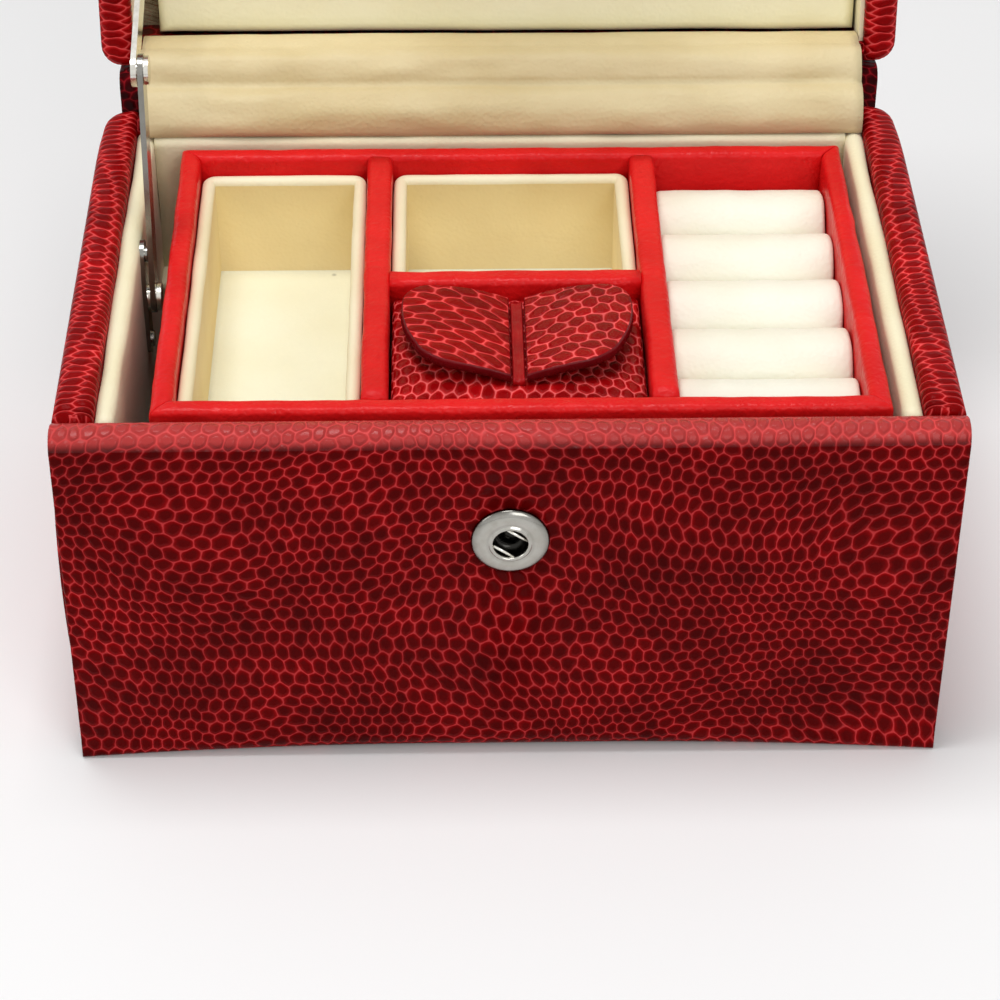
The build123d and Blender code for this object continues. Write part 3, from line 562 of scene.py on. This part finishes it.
# Stay: two flat nickel links riveted to each other and to plates screwed to the case and the lid.
# It folds beside the tray as the lid shuts, and stops the lid when it is open.
dress(["stay_case_rivet", "stay_lid_plate", "stay_lid_rivet", "stay_upper_link", "stay_elbow_rivet"], nickel)
# The lower link, the case plate and the screws take a darker nickel: painted shade standing in for the dark
# surroundings they reflect.
dress(["stay_lower_link", "stay_case_plate", "stay_case_screws", "stay_lid_screws"], plated("shade_painted_nickel", 0.4))

# Lid covers: the same hide over the lid's boards, rolled over its rim and over the crowned top.
# They are drawn with the lid shut and turned to the open rest about the hinge line.
hinge = Vector((0, 58, 75))
lid_turn = Matrix.Translation(hinge) @ Matrix.Rotation(radians(-100), 4, "X") @ Matrix.Translation(-hinge)
lid_rim, lid_ceiling, lid_crown = 73.0, 88.3, 93.2
lid_half, lid_front, lid_back = 77.5, -54, 53.5
lid_inner_x, lid_inner_y = 71.3, -47.8
lid_corner, lid_roll, back_roll = 4.0, 3.1, 1.75
lid_walls = {
    "front": ((-lid_half, lid_front), (lid_half, lid_inner_y), 0, lid_roll, lambda co: co.y - lid_front),
    "back": ((-lid_inner_x, 50), (lid_inner_x, lid_back), 0, back_roll, lambda co: lid_back - co.y),
    "left": ((-lid_half, lid_inner_y), (-lid_inner_x, lid_back), 1, lid_roll, lambda co: co.x + lid_half),
    "right": ((lid_inner_x, lid_inner_y), (lid_half, lid_back), 1, lid_roll, lambda co: lid_half - co.x),
}
for name, (low, high, run, radius, inward) in lid_walls.items():
    cover = box_mesh((*low, lid_rim), (*high, lid_ceiling))
    butted = [low[run]] if run else [low[run], high[run]]
    if run:
        outer = low[0] if name == "left" else high[0]
        round_off(cover, edges_along(cover, 2, x=outer, y=lid_back), lid_corner)
    rim_edges = [e for e in edges_where(cover, lambda co: abs(co.z - lid_rim) < 1e-3)
                 if all(abs(middle_of(e)[run] - end) > 0.01 for end in butted)]
    round_off(cover, rim_edges, radius - 0.02, 8)
    slice_up(cover, run, 8)
    lay_grain(cover, lambda co, n: (co[run], round_wall(inward(co), lid_rim + radius - co.z, radius)))
    bmesh.ops.transform(cover, matrix=lid_turn, verts=cover.verts)
    hide = side_hide if run else front_hide
    settle(cover, f"lid_{name}_hide", hide, "lid", [f"lid_{name}_cover"])

lid_top = box_mesh((-lid_half, lid_front, lid_ceiling), (lid_half, lid_back, lid_crown))
round_off(lid_top, edges_along(lid_top, 2, y=lid_back), lid_corner)
round_off(lid_top, edges_where(lid_top, lambda co: co.z > 93), 3.0, 5)
slice_up(lid_top, 0, 6)
slice_up(lid_top, 1, 6)
for vert in lid_top.verts:
    if vert.co.z > 90:
        vert.co.z += 1.8 * (1 - (vert.co.x / lid_half) ** 2) * (1 - (vert.co.y / lid_front) ** 2)


def turned_down(co, n):
    """The top hide unrolled over the lid's sides."""
    down = lid_crown - min(co.z, lid_crown)
    return (co.x + down * (1 if co.x > 0 else -1) * (abs(n.x) > 0.5),
            co.y + down * (1 if co.y > 0 else -1) * (abs(n.y) > 0.5))


lay_grain(lid_top, turned_down)
bmesh.ops.transform(lid_top, matrix=lid_turn, verts=lid_top.verts)
settle(lid_top, "lid_top_hide", front_hide, "lid", ["lid_top_cover"])

# Lid panel: a cream padded panel glued under the lid's top, with soft rolled edges.
# It leaves a slot on the left for the stay.
panel_face = 80
panel_centre, panel_half = (1.6, 1.5), (68.5, 48.1)
lid_pad = box_mesh((-66.9, -46.6, panel_face), (70.1, 49.6, lid_ceiling))
round_off(lid_pad, edges_where(lid_pad, lambda co: co.z < panel_face + 0.1), 2.2, 5)
slice_up(lid_pad, 0, 4)
slice_up(lid_pad, 1, 4)
for vert in lid_pad.verts:
    if vert.co.z < panel_face + 3:
        away = max(abs(vert.co[i] - panel_centre[i]) / panel_half[i] for i in (0, 1))
        vert.co.z += 0.9 * away**6
ripple(lid_pad, 16, 0.3, 5.0, lambda co: co.z < 86)
bmesh.ops.transform(lid_pad, matrix=lid_turn, verts=lid_pad.verts)
lid_kid = soft_kid("lid_kid", (0.93, 0.89, 0.63), (0.89, 0.84, 0.56))
settle(lid_pad, "padded_lid_panel", lid_kid, "lid", ["lid_panel"])

# Hinge strip: one band of hide glued down the back of the case and along the back of the lid.
# It bends in the gap between them, and its dark ends show at both corners.
strip_hide = scaled_hide("strip_hide", (2.6, 2.6), flesh=(0.09, 0.002, 0.004), dark=(0.03, 0.0005, 0.001),
                         line=(0.2, 0.006, 0.01))
strip_half, strip_y, strip_bend = 74, 54.55, 79.62
strip = bmesh.new()
strip_path = ((strip_y, 54.5), (strip_y, strip_bend), (68.34, 77.19))
corners = [strip.verts.new((-strip_half, *place)) for place in strip_path]
spine = [strip.edges.new(pair) for pair in zip(corners, corners[1:])]
grown = bmesh.ops.extrude_edge_only(strip, edges=spine)
bmesh.ops.translate(strip, vec=(2 * strip_half, 0, 0), verts=new_verts(grown))
round_off(strip, edges_along(strip, 0, y=strip_y, z=strip_bend), 3.0, 8)
slice_up(strip, 0, 8)
lay_grain(strip, lambda co, n: (co.x, co.z if co.y < 56 else 79.6 + co.y - 56))
bmesh.ops.recalc_face_normals(strip, faces=strip.faces)
bmesh.ops.solidify(strip, geom=strip.faces[:], thickness=1.0)
strip_piece = settle(strip, "hinge_band", strip_hide)
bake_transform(strip_piece)
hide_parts("hinge_strip")

# Hinge lining: one sheet of cream kid that falls from the lid panel to the back lining.
# It gathers into two soft rolls when the lid stands open.
fall = bmesh.new()
fall_left, fall_width = -69.4, 139.6
stops = [Vector((fall_left, *stop)) for stop in ((44.7, 71.3), (50.5, 79.4), (57.2, 83.8), (64.8, 82.6))]
tail = fall.verts.new(stops[0])
for start, end, bulge in zip(stops, stops[1:], (2.5, 2.2, 0.7)):
    step = end - start
    out = Vector((0, -step.z, step.y)).normalized()
    radius = (step.length_squared / 4 + bulge**2) / (2 * bulge)
    centre = (start + end) / 2 - out * (radius - bulge)
    swing = -2 * asin(step.length / 2 / radius)
    swung = bmesh.ops.spin(fall, geom=[tail], cent=centre, axis=(1, 0, 0), angle=swing, steps=10)
    tail = next(v for v in swung["geom_last"] if isinstance(v, bmesh.types.BMVert))
grown = bmesh.ops.extrude_edge_only(fall, edges=fall.edges[:])
bmesh.ops.translate(fall, vec=(fall_width, 0, 0), verts=new_verts(grown))
slice_up(fall, 0, 2)
bmesh.ops.recalc_face_normals(fall, faces=fall.faces)
for vert in fall.verts:
    at = Vector((vert.co.x / 26, vert.co.y / 5, vert.co.z / 5))
    crinkle = Vector((vert.co.x / 9, vert.co.y / 2.2, vert.co.z / 2.2))
    vert.co += Vector((0, -0.6, 0.6)) * (0.8 * noise.noise(at) + 0.55 * noise.noise(crinkle))
bmesh.ops.solidify(fall, geom=fall.faces[:], thickness=0.8)
# This kid is coloured darker and more golden than the other linings.
fall_kid = soft_kid("fall_kid", (0.68, 0.57, 0.33), (0.60, 0.48, 0.25), pucker=0.08)
fall_piece = settle(fall, "hinge_fall", fall_kid)
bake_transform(fall_piece)
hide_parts("hinge_lining")


# Tray: boards covered in smooth red leather with a fine pressed grain, glued at the corners.
# Two dividers and a crossbar part it, and its top edges are turned over and polished.
def smooth_hide(name, colour, shade, relief=0.06, roughness=0.34):
    """Smooth dyed leather with a fine pebbled grain and slightly uneven colour."""
    material, tree, surface = shader(name)
    where = add(tree, "TexCoord")
    tone = add(tree, "TexNoise", [("Vector", where.outputs["Object"]), ("Scale", 90), ("Detail", 4.0)])
    red = two_tone(tree, tone.outputs[0], (0.32, shade), (0.65, colour))
    tree.links.new(red.outputs[0], surface.inputs["Base Color"])
    pebble = add(tree, "TexVoronoi", [("Vector", where.outputs["Object"]), ("Scale", 1100)], feature="SMOOTH_F1")
    crease = add(tree, "TexNoise", [("Vector", where.outputs["Object"]), ("Scale", 420), ("Detail", 4.0),
                                    ("Distortion", 1.2)])
    height = add(tree, "Math", [(0, crease.outputs[0]), (1, 1.6), (2, pebble.outputs["Distance"])],
                 operation="MULTIPLY_ADD")
    emboss(tree, surface, height.outputs[0], relief)
    polish = ranged(tree, crease.outputs[0], 0.35, 0.65, roughness - 0.06, roughness + 0.12)
    tree.links.new(polish, surface.inputs["Roughness"])
    surface.inputs["Specular IOR Level"].default_value = 0.16
    return material


tray_hide = smooth_hide("tray_hide", (0.72, 0.010, 0.011), (0.60, 0.006, 0.007), relief=0.12)
dress(["tray_base", "closure_tab_lining"], tray_hide)
rail_wide = 3.8
tray_foot, tray_floor, tray_top = 42, 44.5, 70.5
rails = {
    "tray_front_wall": ((-61.4, -43.6, tray_foot), (65.6, -39.8, tray_top), 0, (1, -39.8)),
    "tray_back_wall": ((-61.4, 38.4, tray_foot), (65.6, 42.2, tray_top), 0, (1, 38.4)),
    "tray_left_wall": ((-61.4, -43.6, tray_foot), (-57.6, 42.2, tray_top), 1, (0, -57.6)),
    "tray_right_wall": ((61.8, -43.6, tray_foot), (65.6, 42.2, tray_top), 1, (0, 61.8)),
    "tray_divider_left": ((-25.57, -39.8, tray_floor), (-20.82, 38.4, tray_top), 1, None),
    "tray_divider_right": ((24.58, -39.8, tray_floor), (29.33, 38.4, tray_top), 1, None),
    "tray_crossbar": ((-20.82, -4.8, tray_floor), (24.58, -0.5, tray_top), 0, None),
}
for number, (name, (low, high, run, inner)) in enumerate(rails.items()):
    rail = box_mesh(low, high)
    middle = (low[run] + high[run]) / 2
    if inner:
        for vert in rail.verts:
            if abs(vert.co[inner[0]] - inner[1]) < 1e-3:
                vert.co[run] += rail_wide if vert.co[run] < middle else -rail_wide
    long_edges = [e for e in edges_where(rail, lambda co: co.z > 70) if e.calc_length() > 20]
    round_off(rail, long_edges, 1.2, 5)
    if inner:
        ends = [f for f in rail.faces if abs(f.normal.z) < 0.1 and 0.5 < abs(f.normal[run]) < 0.9]
        seam = {e for f in ends for e in f.edges if min(v.co.z for v in e.verts) > 69}
        round_off(rail, list(seam), 0.3, 2)
    slice_up(rail, run, 3)
    ripple(rail, 5, 0.22, number * 1.7 + 0.4, lambda co: max(0.0, min(1.0, (co.z - 64) / 5)))
    settle(rail, name.replace("tray_", "covered_"), tray_hide, "tray", [name])

# Bins: open card boxes lined in cream kid, set between the tray's walls.
# Their padded rims are rolled over, and the corners inside are round.
# The bins' inner walls take a darker golden kid as painted shade, and their floors a paler kid as painted light;
# the rims keep the cream kid.
lit_floor_kid = soft_kid("lit_floor_kid", (0.87, 0.885, 0.73), (0.84, 0.84, 0.66), pucker=0.07)
shaded_wall_kid = soft_kid("shaded_wall_kid", (0.79, 0.64, 0.31), (0.73, 0.57, 0.26), pucker=0.06)
bin_floor, bin_top = 46.3, 67
bins = {
    "left_bin": ((-57.4, -39.6, tray_floor), (-25.773, 38.2, bin_top)),
    "rear_bin": ((-20.623, -0.298, tray_floor), (24.379, 38.2, bin_top)),
    "covered_bin": ((-20.623, -39.6, tray_floor), (24.379, -4.998, 62)),
}
for number, (name, (low, high)) in enumerate(bins.items()):
    shell = box_mesh(low, high)
    round_off(shell, edges_along(shell, 2), 2.6, 5)
    lid_face = max(shell.faces, key=lambda f: f.calc_center_median().z)
    bmesh.ops.inset_region(shell, faces=[lid_face], thickness=2.5, use_even_offset=True)
    grown = bmesh.ops.extrude_face_region(shell, geom=[lid_face])
    bmesh.ops.translate(shell, vec=(0, 0, bin_floor - high[2]), verts=new_verts(grown))
    bmesh.ops.delete(shell, geom=[lid_face], context="FACES_ONLY")
    rim = [e for e in edges_where(shell, lambda co: abs(co.z - high[2]) < 1e-3)
           if abs(e.calc_face_angle(0)) > 1]
    round_off(shell, rim, 1.2, 5)
    slice_up(shell, 0, 4)
    slice_up(shell, 1, 4)
    ripple(shell, 8, 0.16, number * 2.3 + 1, lambda co: co.z > 60)
    shell.normal_update()
    # Inner wall faces get the darker kid (painted shade), floor faces the paler kid (painted light).
    for face in shell.faces:
        middle = face.calc_center_median()
        inside = all(low[i] + 1.8 < middle[i] < high[i] - 1.8 for i in (0, 1))
        if inside and middle.z <= high[2] - 2:
            face.material_index = 1 if abs(face.normal.z) < 0.5 else 2
    piece = settle(shell, "lined_" + name, cream_kid, "tray", [name])
    for kid in (shaded_wall_kid, lit_floor_kid):
        piece.data.materials.append(kid)

# Ring rolls: five wadding rolls covered in pale kid, lying side by side on a card bed.
# Rings are pressed into the grooves between them.
roll_kid = soft_kid("roll_kid", (0.88, 0.88, 0.76), (0.85, 0.83, 0.68), pucker=0.09)
roll_pitch, roll_width, roll_top = 15.56, 15.16, 66
for i in range(5):
    y = -39.4 + i * roll_pitch
    bar = box_mesh((29.53, y, 47), (61.6, y + roll_width, roll_top))
    round_off(bar, edges_along(bar, 0, z=roll_top), roll_width / 2 - 0.03, 12)
    ends = [e for e in bar.edges if abs(e.verts[0].co.x - e.verts[1].co.x) < 1e-3 and middle_of(e).z > 47.5]
    round_off(bar, ends, 1.4, 4)
    slice_up(bar, 0, 2)
    ripple(bar, 5, 0.25, i * 1.9, lambda co: co.z > 50)
    piece = settle(bar, f"ring_roll_{i + 1}", roll_kid, "tray", ["ring_rolls"])

# Compartment lid: a padded hide-covered panel that drops between the crossbar and the front wall.
# Its hide is turned down over the edges.
hatch_hide = scaled_hide("hatch_hide", (2.4, 3.0), flesh=(0.45, 0.007, 0.008), dark=(0.24, 0.001, 0.002),
                         line=(0.7, 0.1, 0.1), relief=0.35, roughness=0.28, shine=0.1)
hatch_top = 68
hatch_x, hatch_y = 1.88, -22.3
hatch = box_mesh((-20.423, -39.4, 62), (24.179, -5.198, hatch_top))
round_off(hatch, edges_along(hatch, 2), 1.0, 3)
round_off(hatch, edges_where(hatch, lambda co: co.z > hatch_top - 0.1), 1.6, 5)
slice_up(hatch, 0, 3)
slice_up(hatch, 1, 3)
for vert in hatch.verts:
    if vert.co.z > hatch_top - 2:
        away = max(abs(vert.co.x - hatch_x) / 22.3, abs(vert.co.y - hatch_y) / 17.1)
        vert.co.z -= 0.8 * away**4 + 0.4 * max(0.0, 1 - abs(vert.co.x - hatch_x) / 5)


def hatch_grain(co, n):
    """The hatch hide unrolled over its edges."""
    down = hatch_top - co.z
    return (co.x + down * (1 if n.x > 0 else -1) * (abs(n.x) > 0.6),
            co.y + down * (1 if n.y > 0 else -1) * (abs(n.y) > 0.6))


lay_grain(hatch, hatch_grain)
piece = settle(hatch, "hatch_pad", hatch_hide, "compartment_lid", ["compartment_lid"])

# Pull: a half-moon of hide doubled with smooth leather, sewn down its middle to the compartment lid.
# Its two free wings curl up, with polished dark cut edges.
left_wing_hide = scaled_hide("left_wing_hide", (5.2, 2.5), turn=radians(18), flesh=(0.33, 0.003, 0.004),
                             dark=(0.21, 0.001, 0.001), line=(0.66, 0.06, 0.06), relief=0.35, roughness=0.28,
                             shine=0.06)
right_wing_hide = scaled_hide("right_wing_hide", (3.4, 2.6), turn=radians(-12), flesh=(0.42, 0.005, 0.006),
                              dark=(0.24, 0.001, 0.002), line=(0.7, 0.09, 0.09), relief=0.5, roughness=0.26,
                              shine=0.1)
cut_edge = smooth_hide("cut_edge", (0.16, 0.004, 0.007), (0.1, 0.003, 0.005), roughness=0.3)
wing_reach, wing_length, wing_thick = 19.6, 24.0, 1.6
wing_bulge, wing_tilt, wing_gap = 5.0, radians(8), 1.4
pull_x, pull_rear, pull_z = 1.878, -8.998, 69.1
for side in (-1, 1):
    leaf = bmesh.new()
    outline = ((0, 0), (0.97, 0), (1, -0.45), (0.76, -0.96), (0.3, -1), (0, -1))
    leaf.faces.new([leaf.verts.new((x * wing_reach, y * wing_length, 0)) for x, y in outline])
    for corner, offset in ((1, 4.5), (2, 4.5), (3, 5.0), (4, 3.0)):
        x, y = outline[corner][0] * wing_reach, outline[corner][1] * wing_length
        turn = [v for v in leaf.verts if abs(v.co.x - x) < 1e-3 and abs(v.co.y - y) < 1e-3]
        bmesh.ops.bevel(leaf, geom=turn, offset=offset, segments=8, profile=0.5, affect="VERTICES", material=-1)
    bmesh.ops.translate(leaf, vec=(0, 0, -wing_thick / 2), verts=leaf.verts)
    grown = bmesh.ops.extrude_face_region(leaf, geom=leaf.faces[:])
    bmesh.ops.translate(leaf, vec=(0, 0, wing_thick), verts=new_verts(grown))
    bmesh.ops.recalc_face_normals(leaf, faces=leaf.faces)
    round_off(leaf, edges_where(leaf, lambda co: co.z > 0), 0.45, 3)
    slice_up(leaf, 0, 1)
    slice_up(leaf, 1, 2)
    bmesh.ops.triangulate(leaf, faces=[f for f in leaf.faces if len(f.verts) > 4])
    leaf.normal_update()
    for face in leaf.faces:
        face.material_index = int(face.normal.z < 0.75)
    lay_grain(leaf, lambda co, n: (side * co.x, co.y))
    for vert in leaf.verts:
        share = vert.co.x / wing_reach
        vert.co.z += wing_bulge * (share - share**2)
    bmesh.ops.rotate(leaf, cent=(0, 0, 0), matrix=Matrix.Rotation(-wing_tilt, 3, "Y"), verts=leaf.verts)
    bmesh.ops.translate(leaf, vec=(wing_gap, 0, 0), verts=leaf.verts)
    bmesh.ops.scale(leaf, vec=(side, 1, 1), verts=leaf.verts)
    bmesh.ops.translate(leaf, vec=(pull_x, pull_rear, pull_z), verts=leaf.verts)
    name = "left" if side < 0 else "right"
    hide = left_wing_hide if side < 0 else right_wing_hide
    piece = settle(leaf, f"pull_{name}", hide, f"wing_{name}", [f"pull_wing_{name}"])
    piece.data.materials.append(cut_edge)
seam_hide = smooth_hide("seam_hide", (0.40, 0.006, 0.008), (0.27, 0.004, 0.006))
channel_half, channel_top, stitch_length = 1.1, 69.0, 3
channel = box_mesh((pull_x - channel_half, pull_rear - wing_length, 67.5),
                   (pull_x + channel_half, pull_rear, channel_top))
round_off(channel, edges_along(channel, 1, z=channel_top), 0.4, 3)
slice_up(channel, 1, 0.75)
slice_up(channel, 0, 0.4)
for vert in channel.verts:
    if vert.co.z > channel_top - 0.5:
        stitch = 0.5 + 0.5 * sin(vert.co.y * 2 * pi / stitch_length)
        vert.co.z -= (0.35 + 0.25 * stitch) * max(0.0, 1 - abs(vert.co.x - pull_x) / 0.8)
settle(channel, "pull_channel", seam_hide, "compartment_lid", ["pull_seam"])

# Closing tab: a round-ended strap of hide lined with smooth leather, sewn under the lid's front.
# It carries the stud and its domed cap.
strap_half, strap_face, strap_end, anchor_top = 14, -58.2, 38.2, 91


def strap_grain(co, n):
    """The strap hide unrolled over its edges."""
    down = co.y - strap_face
    return co.x + down * (abs(n.x) > 0.6), co.z + down * (abs(n.z) > 0.6)


strap = box_mesh((-strap_half, strap_face, strap_end), (strap_half, -56.8, 76))
round_off(strap, edges_along(strap, 1, z=strap_end), 13.9, 16)
round_off(strap, edges_where(strap, lambda co: co.y < strap_face + 0.1), 0.4, 3)
anchor = box_mesh((-strap_half, strap_face, 77.4), (strap_half, lid_front, anchor_top))
round_off(anchor, edges_along(anchor, 1, z=anchor_top), 4.0, 6)
round_off(anchor, edges_where(anchor, lambda co: co.y < strap_face + 0.1), 0.5, 3)
for bm in (strap, anchor):
    slice_up(bm, 2, 3)
    lay_grain(bm, strap_grain)
    bmesh.ops.transform(bm, matrix=lid_turn, verts=bm.verts)
settle(strap, "closing_strap", front_hide, "closure_tab", ["closure_tab"])
settle(anchor, "strap_anchor", front_hide, "lid", ["tab_anchor"])
